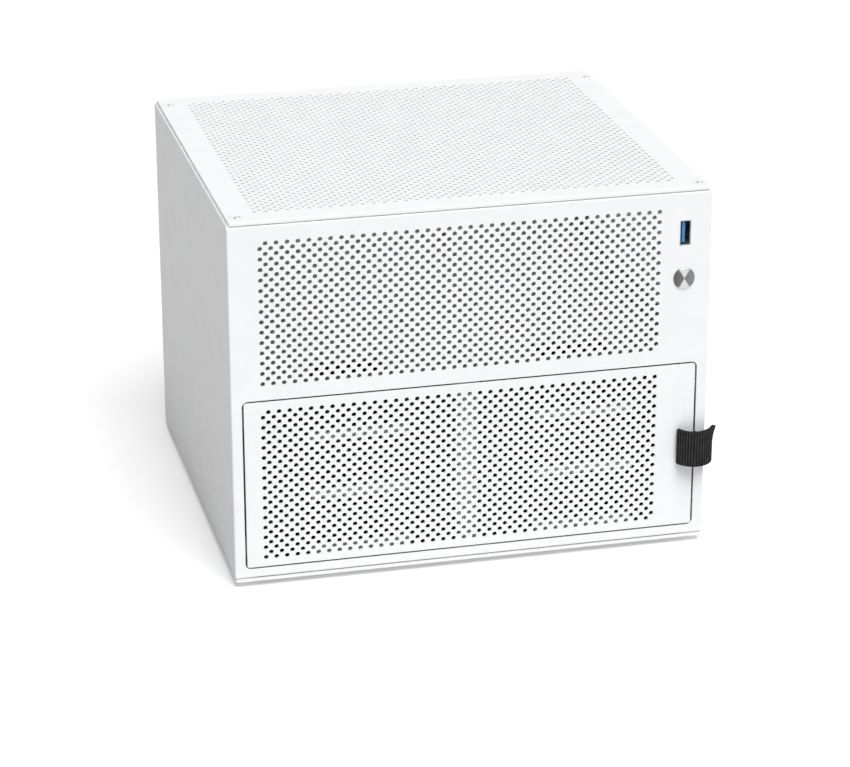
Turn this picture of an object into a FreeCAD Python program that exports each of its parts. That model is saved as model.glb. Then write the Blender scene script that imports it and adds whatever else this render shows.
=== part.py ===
import FreeCAD, Part
import os
import re
import Sketcher
from FreeCAD import Vector

# White network-storage case: sheet shell, six drive trays behind a lift-off door,
# a board deck above them, two rear fans and a front socket and button.
# Frame: +X right, +Y towards the back, +Z up, origin on the floor under the middle of the case.

SIZES = {
    # shell
    "case_width": 258, "case_depth": 230, "body_height": 199.6, "foot_height": 3.4,
    "base_thick": 1.6, "cover_thick": 2, "front_thick": 1.2, "rear_thick": 1.5, "side_thick": 1.5,
    "side_flange": 10, "bend_radius": 1.6, "seam": 0.5, "cover_inset": 1.2, "edge_round": 0.8,
    "cover_corner": 1.2, "corner_radius": 2, "foot_radius": 8, "foot_inset": 20,
    # perforated fields
    "punch_radius": 5.3, "top_punch_radius": 6.8, "grille_left": 15.5, "grille_right": 27.5,
    "grille_foot": 7, "grille_head": 10.8, "grille_columns": 9, "grille_rows": 4,
    "door_grille_margin": 4.05, "door_grille_rows": 4,
    "top_side_margin": 15.85, "top_end_margin": 13.2, "top_columns": 8, "top_rows": 7,
    # door and its loop
    "door_margin": 6.7, "door_foot": 7.95, "door_head": 1.65, "door_thick": 1.2, "door_gap": 1,
    "door_radius": 2.4, "magnet_width": 6, "magnet_height": 10, "magnet_thick": 3, "magnet_inset": 4.5,
    "magnet_drop": 10.5, "strike_air": 0.2, "strike_thick": 1, "strike_height": 12,
    "strike_reach": 11, "strike_leg": 1.5,
    "loop_width": 20, "loop_half": 10.2, "loop_bulge": 8.6, "webbing_thick": 1.2, "loop_air": 0.4,
    "loop_shift": 1.85, "stem_width": 12, "stem_gap": 0.35, "tail_length": 14,
    "notch_margin": 0.5, "clamp_thick": 1, "clamp_length": 10,
    # front socket and button
    "port_margin": 14.6, "socket_drop": 24.8, "socket_width": 5.9, "socket_height": 13.7,
    "socket_wall": 0.4, "socket_length": 14, "socket_recess": 0.3, "socket_air": 0.1,
    "tongue_thick": 1.9, "tongue_height": 11.2, "tongue_offset": 1, "tongue_length": 10.2,
    "insulator_depth": 2.5, "socket_board_width": 14, "socket_board_height": 29, "board_thick": 1.6,
    "spacer_radius": 2.5, "spacer_inset": 3,
    "button_drop": 49.8, "button_radius": 5.75, "button_air": 0.2, "button_proud": 0.8, "button_bevel": 0.4,
    "button_travel": 1.5, "flange_radius": 7, "flange_thick": 1, "flange_air": 0.1,
    "switch_half": 9, "switch_length": 10,
    # board deck
    "deck_level": 102.6, "deck_thick": 1.5, "deck_skirt": 10, "deck_setback": 2,
    "standoff_height": 6.5, "standoff_radius": 2.9, "standoff_hole": 1.25,
    "board_span_x": 157.48, "board_span_y": 154.94, "board_left": 87, "board_hole_setback": 11.66,
    "pass_width": 40, "pass_depth": 22, "pass_setback": 16, "pass_shift": 62,
    # drive cage and trays
    "cage_setback": 11.8, "cage_thick": 1.2, "cage_gap": 9.3, "cage_flange": 10,
    "ledge_reach": 4, "divider_half": 6, "tray_rise": 3, "tray_head": 2, "tray_play": 1.5,
    "tray_stop": 10, "tray_drop": 5, "tray_floor": 2.5, "tray_wall": 2.9,
    "bezel_thick": 4, "bezel_drop": 3, "bezel_play": 0.5, "bezel_slot": 4, "bezel_slot_margin": 14,
    "window_width": 20, "window_margin": 20, "window_shift": 28,
    "handle_width": 54, "handle_height": 5, "handle_bar": 2.2, "handle_reach": 6, "handle_leg": 4,
    "handle_rise": 5.4, "handle_shift": 1.5,
    # backplane
    "plane_room": 28.5, "plane_rise": 2, "plane_gap": 2, "vent_width": 70, "vent_height": 9, "vent_rise": 13,
    "drive_socket_width": 42, "drive_socket_height": 6, "drive_socket_depth": 8, "contact_slot": 2,
    "contact_depth": 6, "drive_socket_rise": 2, "power_socket_width": 21, "power_socket_height": 8,
    "power_socket_depth": 10, "power_socket_wall": 1, "power_socket_drop": 14,
    # fans
    "fan_size": 80, "fan_depth": 25, "fan_shift": 50, "fan_level": 51.6, "fan_bore": 38.5, "fan_corner": 4,
    "fan_hub": 17, "hub_depth": 9, "stator_thick": 3, "strut_width": 4, "hub_setback": 2,
    "shaft_radius": 1.5, "shaft_air": 0.05, "bearing_radius": 8, "bearing_length": 9, "shaft_length": 10,
    "blade_tip": 35.5, "blade_thick": 1.6, "blade_chord": 15, "blade_rise": 16, "blade_count": 7,
    "vent_field": 72, "vent_cells": 2, "vent_radius": 9,
    # rear apertures
    "panel_width": 158.75, "panel_height": 44.45, "panel_margin": 11.625, "panel_rise": 5,
    "aperture_web": 4.125, "supply_margin": 5.5, "supply_height": 38, "supply_rise": 5,
    # brackets
    "bracket_thick": 1.5, "bracket_reach": 10, "bracket_foot": 4.2, "bracket_height": 12,
    "bracket_rise": 2.5, "bracket_drop": 17,
}

# Derived places, as formulas of the sheet
HALF_W = "(case_width / 2)"
HALF_D = "(case_depth / 2)"
BASE_TOP = "(foot_height + base_thick)"
COVER_LOW = "(foot_height + body_height - cover_thick)"
FRONT_BACK = "(front_thick - case_depth / 2)"
REAR_FRONT = "(case_depth / 2 - rear_thick)"
SIDE_IN = "(case_width / 2 - side_thick)"
DECK_LOW = "(foot_height + deck_level)"
DECK_TOP = "(foot_height + deck_level + deck_thick)"
DOOR_WIDTH = "(case_width - 2 * door_margin)"
DOOR_HEIGHT = "(deck_level - door_head - door_foot)"
DOOR_MID = "(foot_height + (deck_level - door_head + door_foot) / 2)"
DOOR_BACK = "(door_thick - case_depth / 2)"
GRILLE_WIDTH = "(case_width - grille_left - grille_right)"
GRILLE_MID = "((grille_left - grille_right) / 2)"
GRILLE_HEIGHT = "(body_height - grille_head - deck_level - grille_foot)"
GRILLE_Z = "(foot_height + (body_height - grille_head + deck_level + grille_foot) / 2)"
FAN_FRONT = f"({REAR_FRONT} - fan_depth)"
FAN_Z = "(foot_height + fan_level)"
STATOR_FRONT = f"({REAR_FRONT} - stator_thick)"
CAGE_HALF = f"({SIDE_IN} - cage_gap - cage_thick)"
CAGE_FRONT = f"({FRONT_BACK} + cage_setback)"
CAGE_REAR = f"({FAN_FRONT} - plane_room)"
CAGE_LENGTH = f"({CAGE_REAR} - {CAGE_FRONT})"
TRAY_MID = f"(({CAGE_HALF} + divider_half) / 2)"
TRAY_WIDTH = f"({CAGE_HALF} - divider_half - 2 * tray_play)"
TRAY_PITCH = f"(({DECK_LOW} - {BASE_TOP} - tray_rise - tray_head) / 3)"
TRAY_FACE = f"({CAGE_FRONT} - bezel_thick / 2)"
TRAY_LENGTH = f"({CAGE_REAR} - tray_stop - {TRAY_FACE} - bezel_thick)"
PORT_X = "(case_width / 2 - port_margin)"
BUTTON_Z = "(foot_height + body_height - button_drop)"
SOCKET_Z = "(foot_height + body_height - socket_drop)"
BOARD_FRONT = "(socket_recess + socket_length - case_depth / 2)"
NORMAL = {"XY": 1, "XZ": -1, "YZ": 1}
FOOT_SIDES = 12
BOSS_SIDES = 12
BORE_SIDES = 24
HUB_SIDES = 21

doc = FreeCAD.newDocument("storage_case")
dims = doc.addObject("Spreadsheet::Sheet", "Dims")
for line, (alias, size) in enumerate(SIZES.items(), 1):
    dims.set(f"A{line}", alias)
    dims.set(f"B{line}", str(size))
    dims.setAlias(f"B{line}", alias)
doc.recompute()
pieces = []


# Formulas and features

def formula(text):
    """A formula with each size name pointed at its cell."""
    return re.sub(r"[a-z_]+", lambda m: f"Dims.{m[0]}" if m[0] in SIZES else m[0], str(text))


def number(text):
    """The present value of a formula."""
    return float(dims.evalExpression(formula(text)))


def bind(feature, **sizes):
    """Tie properties to formulas; a double underscore in the name stands for a dot."""
    for name, text in sizes.items():
        feature.setExpression(name.replace("__", "."), formula(text))


def new_piece(kind, label):
    piece = doc.addObject(kind, label)
    piece.Label = label
    pieces.append(piece)
    return piece


def new_body(label):
    return new_piece("PartDesign::Body", label)


def origin_part(body, role):
    return next(f for f in body.Origin.OriginFeatures if f.Role == role)


def attach(feature, body, plane, level):
    feature.AttachmentSupport = [(origin_part(body, f"{plane}_Plane"), "")]
    feature.MapMode = "FlatFace"
    bind(feature, AttachmentOffset__Base__z=f"{NORMAL[plane]} * ({level})")


def pin_point(sketch, edge, end, spot):
    """Fix one end of an edge at two formulas."""
    for kind, text in zip(("DistanceX", "DistanceY"), spot):
        index = sketch.addConstraint(Sketcher.Constraint(kind, -1, 1, edge, end, number(text)))
        sketch.setExpression(f"Constraints[{index}]", formula(text))


def at(spot):
    return Vector(number(spot[0]), number(spot[1]), 0)


def polygon(*spots):
    """A loop of straight edges."""
    def draw(sketch):
        ends = [at(spot) for spot in spots]
        first = sketch.GeometryCount
        count = len(spots)
        for i in range(count):
            sketch.addGeometry(Part.LineSegment(ends[i], ends[(i + 1) % count]), False)
        for i in range(count):
            sketch.addConstraint(Sketcher.Constraint("Coincident", first + i, 2, first + (i + 1) % count, 1))
            pin_point(sketch, first + i, 1, spots[i])
    return draw


def rectangle(left, right, low, high):
    return polygon((left, low), (right, low), (right, high), (left, high))


def rounded(left, right, low, high, radius):
    """A rectangle with round corners: lines pinned at both ends, arcs between them."""
    spots = [
        (f"{left} + {radius}", low), (f"{right} - {radius}", low),
        (right, f"{low} + {radius}"), (right, f"{high} - {radius}"),
        (f"{right} - {radius}", high), (f"{left} + {radius}", high),
        (left, f"{high} - {radius}"), (left, f"{low} + {radius}"),
    ]
    corners = [(right, low), (right, high), (left, high), (left, low)]

    def draw(sketch):
        ends = [at(spot) for spot in spots]
        first = sketch.GeometryCount
        for i in range(4):
            sketch.addGeometry(Part.LineSegment(ends[2 * i], ends[2 * i + 1]), False)
        for i in range(4):
            start, stop = ends[2 * i + 1], ends[(2 * i + 2) % 8]
            corner = at(corners[i])
            centre = start + stop - corner
            middle = centre + (corner - centre).normalize() * number(radius)
            sketch.addGeometry(Part.Arc(start, middle, stop), False)
        for i in range(4):
            pin_point(sketch, first + i, 1, spots[2 * i])
            pin_point(sketch, first + i, 2, spots[2 * i + 1])
        for i in range(4):
            arc, following = first + 4 + i, first + (i + 1) % 4
            sketch.addConstraint(Sketcher.Constraint("Coincident", arc, 1, first + i, 2))
            sketch.addConstraint(Sketcher.Constraint("Coincident", arc, 2, following, 1))
            index = sketch.addConstraint(Sketcher.Constraint("Radius", arc, number(radius)))
            sketch.setExpression(f"Constraints[{index}]", formula(radius))
    return draw


def circle(across, up, radius):
    def draw(sketch):
        edge = sketch.addGeometry(Part.Circle(at((across, up)), Vector(0, 0, 1), number(radius)), False)
        pin_point(sketch, edge, 3, (across, up))
        index = sketch.addConstraint(Sketcher.Constraint("Radius", edge, number(radius)))
        sketch.setExpression(f"Constraints[{index}]", formula(radius))
    return draw


def axis_line(start, stop):
    """A construction line to turn a profile about."""
    def draw(sketch):
        edge = sketch.addGeometry(Part.LineSegment(at(start), at(stop)), True)
        pin_point(sketch, edge, 1, start)
        pin_point(sketch, edge, 2, stop)
    return draw


def sketch_on(body, plane, level, *loops):
    sketch = body.newObject("Sketcher::SketchObject", "profile")
    attach(sketch, body, plane, level)
    for draw in loops:
        draw(sketch)
    return sketch


def pad(body, plane, level, length, toward, *loops):
    """Extrude loops drawn at a level; toward is the sign of the way along the plane's axis."""
    feature = body.newObject("PartDesign::Pad", "pad")
    feature.Profile = sketch_on(body, plane, level, *loops)
    feature.Reversed = NORMAL[plane] != toward
    bind(feature, Length=length)
    doc.recompute()
    return feature


def pocket(body, plane, level, depth, toward, *loops):
    """Cut loops drawn at a level, and see that something was cut."""
    before = body.Shape.Volume
    feature = body.newObject("PartDesign::Pocket", "pocket")
    feature.Profile = sketch_on(body, plane, level, *loops)
    feature.Reversed = NORMAL[plane] == toward
    bind(feature, Length=depth)
    doc.recompute()
    if body.Shape.Volume >= before:
        raise RuntimeError(f"{body.Label}: a pocket cut nothing")
    return feature


def revolve(body, level, axis_z, profile):
    """Turn a (y, radius) profile about an axis along Y, at x = level and z = axis_z."""
    spots = [(along, f"{axis_z} + {radius}") for along, radius in profile]
    turned = body.newObject("PartDesign::Revolution", "turned")
    sketch = sketch_on(body, "YZ", level, axis_line((profile[0][0], axis_z), (profile[-1][0], axis_z)),
                       polygon(*spots))
    turned.Profile = sketch
    turned.ReferenceAxis = (sketch, ["Axis0"])
    turned.Angle = 360
    doc.recompute()
    return sketch


def soften(body, radius, chosen):
    """Round the edges of the tip that a test picks."""
    edges = [f"Edge{i}" for i, edge in enumerate(body.Tip.Shape.Edges, 1) if chosen(edge)]
    base = body.Tip
    feature = body.newObject("PartDesign::Fillet", "rounding")
    feature.Base = (base, edges)
    bind(feature, Radius=radius)
    doc.recompute()


def edge_at(direction, **place):
    """A test for straight edges along a direction whose middle lies at the given formulas."""
    def chosen(edge):
        if edge.Curve.TypeId != "Part::GeomLine":
            return False
        if abs(edge.Curve.Direction.dot(direction)) < 0.999:
            return False
        middle = edge.CenterOfMass
        return all(abs(abs(getattr(middle, axis)) - abs(number(text))) < 1e-4 for axis, text in place.items())
    return chosen


def perforate(body, plane, level, thick, radius, middle, field, cells):
    """Punch a staggered field of hexagons: two sub-grids shifted by half a cell."""
    names = {"XY": ("X_Axis", "Y_Axis"), "XZ": ("X_Axis", "Z_Axis")}[plane]
    cell = [f"({size} / {count})" for size, count in zip(field, cells)]
    for quarter in (1, 3):
        punch = body.newObject("PartDesign::SubtractivePrism", "punch")
        punch.Polygon = 6
        attach(punch, body, plane, f"({level}) - {NORMAL[plane]} * {thick}")
        spot = [f"{m} - {f} / 2 + {quarter} * {c} / 4" for m, f, c in zip(middle, field, cell)]
        bind(punch, Circumradius=radius, Height=f"3 * {thick}",
             AttachmentOffset__Base__x=spot[0], AttachmentOffset__Base__y=spot[1])
        doc.recompute()
        grid = body.newObject("PartDesign::MultiTransform", "grid")
        grid.Originals = [punch]
        runs = []
        for name, step, count in zip(names, cell, cells):
            run = doc.addObject("PartDesign::LinearPattern", "run")
            run.Direction = (origin_part(body, name), [""])
            run.Mode = "Spacing"
            bind(run, Offset=step, Occurrences=count)
            runs.append(run)
        grid.Transformations = runs
        body.Tip = grid
        doc.recompute()


def primitive(kind, place, **sizes):
    """A bound Part primitive at three formulas, standing along +Z."""
    solid = doc.addObject(f"Part::{kind}", kind.lower())
    bind(solid, Placement__Base__x=place[0], Placement__Base__y=place[1], Placement__Base__z=place[2])
    bind(solid, **sizes)
    return solid


def turn(solid, axis, angle):
    solid.Placement.Rotation = FreeCAD.Rotation(axis, angle)
    return solid


def fuse(*solids):
    joined = doc.addObject("Part::MultiFuse", "joined")
    joined.Shapes = list(solids)
    return joined


def cut(base, tool):
    left = doc.addObject("Part::Cut", "left")
    left.Base = base
    left.Tool = tool
    return left


def group(label, solids):
    """Like pieces that stay separate solids in one node."""
    piece = new_piece("Part::Compound", label)
    piece.Links = solids
    doc.recompute()
    return piece


# Shell

def base_plate():
    body = new_body("base_plate")
    pad(body, "XY", "foot_height", "base_thick", 1,
        rounded(f"-{HALF_W}", HALF_W, f"-{HALF_D}", HALF_D, "corner_radius"))


def top_cover():
    body = new_body("top_cover")
    side = f"({HALF_W} - cover_inset)"
    pad(body, "XY", COVER_LOW, "cover_thick", 1,
        rounded(f"-{side}", side, f"-{HALF_D}", HALF_D, "cover_corner"))
    perforate(body, "XY", COVER_LOW, "cover_thick", "top_punch_radius", ("0", "0"),
              ("(case_width - 2 * top_side_margin)", "(case_depth - 2 * top_end_margin)"),
              ("top_columns", "top_rows"))


def side_panel(label, side):
    """A folded panel: an upright sheet with a flange turned in along its top and bottom edges."""
    body = new_body(label)
    outer = f"{side} * {HALF_W}"
    sheet = f"{side} * {SIDE_IN}"
    lip = f"{side} * ({HALF_W} - side_flange)"
    pad(body, "XZ", FRONT_BACK, f"{REAR_FRONT} - {FRONT_BACK}", 1, polygon(
        (outer, BASE_TOP), (outer, COVER_LOW), (lip, COVER_LOW), (lip, f"{COVER_LOW} - side_thick"),
        (sheet, f"{COVER_LOW} - side_thick"), (sheet, f"{BASE_TOP} + side_thick"),
        (lip, f"{BASE_TOP} + side_thick"), (lip, BASE_TOP)))
    along = Vector(0, 1, 0)
    folds = [edge_at(along, x=HALF_W, z=COVER_LOW), edge_at(along, x=HALF_W, z=BASE_TOP)]
    soften(body, "bend_radius", lambda edge: any(test(edge) for test in folds))


def front_panel():
    body = new_body("front_panel")
    gap = "door_gap"
    opening = rounded(f"-({DOOR_WIDTH} / 2 + {gap})", f"({DOOR_WIDTH} / 2 + {gap})",
                      f"({DOOR_MID} - {DOOR_HEIGHT} / 2 - {gap})",
                      f"({DOOR_MID} + {DOOR_HEIGHT} / 2 + {gap})", f"(door_radius + {gap})")
    socket = rectangle(f"{PORT_X} - socket_width / 2 - socket_air",
                       f"{PORT_X} + socket_width / 2 + socket_air",
                       f"{SOCKET_Z} - socket_height / 2 - socket_air",
                       f"{SOCKET_Z} + socket_height / 2 + socket_air")
    button = circle(PORT_X, BUTTON_Z, "button_radius + button_air")
    pad(body, "XZ", f"-{HALF_D}", "front_thick", 1,
        rectangle(f"-{HALF_W}", HALF_W, f"{BASE_TOP} + seam", f"{COVER_LOW} - seam"),
        opening, socket, button)
    soften(body, "edge_round", edge_at(Vector(0, 0, 1), x=HALF_W, y=HALF_D))
    perforate(body, "XZ", f"-{HALF_D}", "front_thick", "punch_radius",
              (GRILLE_MID, GRILLE_Z), (GRILLE_WIDTH, GRILLE_HEIGHT), ("grille_columns", "grille_rows"))


def rear_panel():
    body = new_body("rear_panel")
    left = f"(panel_margin - {HALF_W})"
    right = f"({left} + panel_width)"
    ports = rectangle(left, right, f"{DECK_TOP} + panel_rise", f"{DECK_TOP} + panel_rise + panel_height")
    supply = rectangle(f"{right} + aperture_web", f"{HALF_W} - supply_margin",
                       f"{DECK_TOP} + supply_rise", f"{DECK_TOP} + supply_rise + supply_height")
    pad(body, "XZ", REAR_FRONT, "rear_thick", 1,
        rectangle(f"-{HALF_W}", HALF_W, BASE_TOP, COVER_LOW), ports, supply)
    soften(body, "edge_round", edge_at(Vector(0, 0, 1), x=HALF_W, y=HALF_D))
    for side in (-1, 1):
        perforate(body, "XZ", REAR_FRONT, "rear_thick", "vent_radius", (f"{side} * fan_shift", FAN_Z),
                  ("vent_field", "vent_field"), ("vent_cells", "vent_cells"))


def corner_brackets():
    """Angles that tie the front and rear panels to the sides, two heights on each corner."""
    solids = []
    for side in (-1, 1):
        for end in (-1, 1):
            for level in (f"{DECK_TOP} + bracket_rise", "foot_height + body_height - bracket_drop"):
                foot_x = f"({SIDE_IN} - bracket_foot)" if side > 0 else f"-{SIDE_IN}"
                leg_x = f"({SIDE_IN} - bracket_thick)" if side > 0 else f"-{SIDE_IN}"
                foot_y = f"({REAR_FRONT} - bracket_thick)" if end > 0 else FRONT_BACK
                leg_y = f"({REAR_FRONT} - bracket_reach)" if end > 0 else FRONT_BACK
                foot = primitive("Box", (foot_x, foot_y, level), Length="bracket_foot",
                                 Width="bracket_thick", Height="bracket_height")
                leg = primitive("Box", (leg_x, leg_y, level), Length="bracket_thick",
                                Width="bracket_reach", Height="bracket_height")
                solids.append(fuse(foot, leg))
    group("corner_brackets", solids)


def rubber_feet():
    solids = []
    for sx in (-1, 1):
        for sy in (-1, 1):
            spot = (f"{sx} * ({HALF_W} - foot_inset)", f"{sy} * ({HALF_D} - foot_inset)", "0")
            foot = primitive("Prism", spot, Circumradius="foot_radius", Height="foot_height")
            foot.Polygon = FOOT_SIDES
            solids.append(foot)
    group("rubber_feet", solids)


# Board deck

BOARD_MID_Y = f"({REAR_FRONT} - board_hole_setback - board_span_y / 2)"
BOARD_MID_X = f"(board_left - {SIDE_IN})"
BOARD_SPOTS = [
    (f"{BOARD_MID_X} + {sx} * board_span_x / 2", f"{BOARD_MID_Y} + {sy} * board_span_y / 2")
    for sx in (-1, 1) for sy in (-1, 1)
]


def mid_deck():
    """A folded shelf with a skirt down each side, and two cable openings at the front."""
    body = new_body("mid_deck")
    inner = f"({SIDE_IN} - deck_thick)"
    skirt = f"({DECK_LOW} - deck_skirt)"
    start = f"({FRONT_BACK} + deck_setback)"
    pad(body, "XZ", start, f"{REAR_FRONT} - {start}", 1, polygon(
        (f"-{SIDE_IN}", skirt), (f"-{inner}", skirt), (f"-{inner}", DECK_LOW), (inner, DECK_LOW),
        (inner, skirt), (SIDE_IN, skirt), (SIDE_IN, DECK_TOP), (f"-{SIDE_IN}", DECK_TOP)))
    near = f"({start} + pass_setback)"
    passes = [rectangle(f"{side} * pass_shift - pass_width / 2", f"{side} * pass_shift + pass_width / 2",
                        near, f"{near} + pass_depth") for side in (-1, 1)]
    pocket(body, "XY", DECK_TOP, "2 * deck_thick", -1, *passes)


def board_standoffs():
    solids = []
    for x, y in BOARD_SPOTS:
        column = primitive("Prism", (x, y, DECK_TOP), Circumradius="standoff_radius",
                           Height="standoff_height")
        column.Polygon = 6
        bore = primitive("Cylinder", (x, y, DECK_TOP), Radius="standoff_hole", Height="standoff_height")
        solids.append(cut(column, bore))
    group("board_standoffs", solids)


# Drive cage

def tray_low(row):
    return f"({BASE_TOP} + tray_rise + {row} * {TRAY_PITCH})"


def cage_wall(label, side):
    """A folded wall with a flange at each end and three runner ledges, drawn as one section."""
    inner = f"{side} * {CAGE_HALF}"
    outer = f"{side} * ({CAGE_HALF} + cage_thick)"
    lip = f"{side} * ({CAGE_HALF} - cage_flange)"
    edge = f"{side} * ({CAGE_HALF} - ledge_reach)"
    spots = [(outer, BASE_TOP), (outer, DECK_LOW), (lip, DECK_LOW), (lip, f"{DECK_LOW} - cage_thick"),
             (inner, f"{DECK_LOW} - cage_thick")]
    for row in (2, 1, 0):
        low = f"{tray_low(row)} - cage_thick"
        spots += [(inner, tray_low(row)), (edge, tray_low(row)), (edge, low), (inner, low)]
    spots += [(inner, f"{BASE_TOP} + cage_thick"), (lip, f"{BASE_TOP} + cage_thick"), (lip, BASE_TOP)]
    pad(new_body(label), "XZ", CAGE_FRONT, CAGE_LENGTH, 1, polygon(*spots))


def cage_divider():
    """A channel with its web to the front and runner ledges on both flanks."""
    body = new_body("cage_divider")
    flank = []
    for row in (0, 1, 2):
        low = f"{tray_low(row)} - cage_thick"
        reach = "divider_half + ledge_reach"
        flank += [("divider_half", low), (reach, low), (reach, tray_low(row)),
                  ("divider_half", tray_low(row))]
    right = [("divider_half", BASE_TOP)] + flank + [("divider_half", DECK_LOW)]
    left = [(f"-({x})", z) for x, z in reversed(right)]
    pad(body, "XZ", CAGE_FRONT, CAGE_LENGTH, 1, polygon(*right, *left))
    hollow = "(divider_half - cage_thick)"
    pocket(body, "XY", DECK_LOW, f"{DECK_LOW} - {BASE_TOP}", -1,
           rectangle(f"-{hollow}", hollow, f"{CAGE_FRONT} + cage_thick", CAGE_REAR))


def drive_tray(label, side, row):
    """A tray for one drive: floor with two windows, two side walls and a slotted front."""
    body = new_body(label)
    mid = f"{side} * {TRAY_MID}"
    low = tray_low(row)
    back = f"({TRAY_FACE} + bezel_thick)"
    half = f"({TRAY_WIDTH} / 2)"
    inner = f"({half} - tray_wall)"
    top = f"({low} + {TRAY_PITCH} - tray_drop)"
    floor = f"({low} + tray_floor)"
    pad(body, "XZ", back, TRAY_LENGTH, 1, polygon(
        (f"{mid} - {half}", low), (f"{mid} + {half}", low), (f"{mid} + {half}", top),
        (f"{mid} + {inner}", top), (f"{mid} + {inner}", floor), (f"{mid} - {inner}", floor),
        (f"{mid} - {inner}", top), (f"{mid} - {half}", top)))
    pocket(body, "XY", floor, "2 * tray_floor", -1,
           *[rectangle(f"{mid} + {way} * window_shift - window_width / 2",
                       f"{mid} + {way} * window_shift + window_width / 2",
                       f"{back} + window_margin", f"{back} + {TRAY_LENGTH} - window_margin")
             for way in (-1, 1)])
    wide = f"(({CAGE_HALF} - divider_half) / 2 - bezel_play)"
    slot = f"({wide} - bezel_slot_margin)"
    above = f"({low} + handle_rise + handle_height)"
    pad(body, "XZ", TRAY_FACE, "bezel_thick", 1,
        rectangle(f"{mid} - {wide}", f"{mid} + {wide}", low, f"{low} + {TRAY_PITCH} - bezel_drop"),
        rectangle(f"{mid} - {slot}", f"{mid} + {slot}", f"{above} + bezel_slot", f"{above} + 2 * bezel_slot"))


def tray_handle(label, side, row):
    """A bar on two legs across the tray's front."""
    mid = f"({side} * {TRAY_MID} + handle_shift)"
    face = f"({TRAY_FACE} - handle_reach)"
    under = f"({face} + handle_bar)"
    half = "(handle_width / 2)"
    leg = f"({half} - handle_leg)"
    pad(new_body(label), "XY", f"{tray_low(row)} + handle_rise", "handle_height", 1, polygon(
        (f"{mid} - {half}", TRAY_FACE), (f"{mid} - {half}", face), (f"{mid} + {half}", face),
        (f"{mid} + {half}", TRAY_FACE), (f"{mid} + {leg}", TRAY_FACE), (f"{mid} + {leg}", under),
        (f"{mid} - {leg}", under), (f"{mid} - {leg}", TRAY_FACE)))


def backplane_board():
    half = f"({CAGE_HALF} + cage_thick)"
    vents = [rectangle(f"{side} * {TRAY_MID} - vent_width / 2", f"{side} * {TRAY_MID} + vent_width / 2",
                       f"{tray_low(row)} + vent_rise", f"{tray_low(row)} + vent_rise + vent_height")
             for side in (-1, 1) for row in range(3)]
    pad(new_body("backplane_board"), "XZ", CAGE_REAR, "board_thick", 1,
        rectangle(f"-{half}", half, f"{BASE_TOP} + plane_rise", f"{DECK_LOW} - plane_gap"), *vents)


def drive_sockets():
    """Slotted connector blocks on the front of the backplane, one for each tray."""
    solids = []
    for side in (-1, 1):
        for row in range(3):
            low = f"({tray_low(row)} + tray_floor + drive_socket_rise)"
            left = f"{side} * {TRAY_MID} - drive_socket_width / 2"
            block = primitive("Box", (left, f"{CAGE_REAR} - drive_socket_depth", low),
                              Length="drive_socket_width", Width="drive_socket_depth",
                              Height="drive_socket_height")
            slit = primitive("Box", (f"{left} + contact_slot", f"{CAGE_REAR} - drive_socket_depth",
                                     f"{low} + contact_slot"),
                             Length="drive_socket_width - 2 * contact_slot", Width="contact_depth",
                             Height="drive_socket_height - 2 * contact_slot")
            solids.append(cut(block, slit))
    group("drive_sockets", solids)


def power_sockets():
    """Open shrouded headers on the back of the backplane."""
    face = f"({CAGE_REAR} + board_thick)"
    solids = []
    for side in (-1, 1):
        left = f"{side} * {TRAY_MID} - power_socket_width / 2"
        low = f"{DECK_LOW} - power_socket_drop"
        block = primitive("Box", (left, face, low), Length="power_socket_width", Width="power_socket_depth",
                          Height="power_socket_height")
        hollow = primitive("Box", (f"{left} + power_socket_wall", f"{face} + power_socket_wall",
                                   f"{low} + power_socket_wall"),
                           Length="power_socket_width - 2 * power_socket_wall", Width="power_socket_depth",
                           Height="power_socket_height - 2 * power_socket_wall")
        solids.append(cut(block, hollow))
    group("power_sockets", solids)


# Fans

def prism(body, kind, sides, back, mid, radius, length):
    """A many-sided post or bore on a fan's axis, from its back face forwards."""
    feature = body.newObject(f"PartDesign::{kind}Prism", "prism")
    feature.Polygon = sides
    attach(feature, body, "XZ", back)
    bind(feature, Circumradius=radius, Height=length,
         AttachmentOffset__Base__x=mid, AttachmentOffset__Base__y=FAN_Z)
    doc.recompute()


def fan_frame(label, side):
    """A square frame with a round bore, and a bearing boss held in it by four struts."""
    body = new_body(label)
    mid = f"{side} * fan_shift"
    half = "(fan_size / 2)"
    nip = "(fan_size / 2 - fan_corner)"
    outline = [(half, nip), (nip, half), (f"-{nip}", half), (f"-{half}", nip),
               (f"-{half}", f"-{nip}"), (f"-{nip}", f"-{half}"), (nip, f"-{half}"), (half, f"-{nip}")]
    pad(body, "XZ", FAN_FRONT, "fan_depth", 1,
        polygon(*[(f"{mid} + {x}", f"{FAN_Z} + {z}") for x, z in outline]))
    prism(body, "Subtractive", BORE_SIDES, REAR_FRONT, mid, "fan_bore", "fan_depth")
    arm = "(strut_width / 2)"
    reach = "((fan_bore + fan_size / 2) / 2)"
    cross = [(reach, arm), (arm, arm), (arm, reach), (f"-{arm}", reach), (f"-{arm}", arm), (f"-{reach}", arm),
             (f"-{reach}", f"-{arm}"), (f"-{arm}", f"-{arm}"), (f"-{arm}", f"-{reach}"), (arm, f"-{reach}"),
             (arm, f"-{arm}"), (reach, f"-{arm}")]
    pad(body, "XZ", STATOR_FRONT, "stator_thick", 1,
        polygon(*[(f"{mid} + {x}", f"{FAN_Z} + {z}") for x, z in cross]))
    tube = f"({STATOR_FRONT} - bearing_length)"
    prism(body, "Additive", BOSS_SIDES, REAR_FRONT, mid, "bearing_radius", "bearing_length + stator_thick")
    pocket(body, "XZ", tube, "bearing_length + stator_thick / 2", 1,
           circle(mid, FAN_Z, "shaft_radius + shaft_air"))


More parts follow.
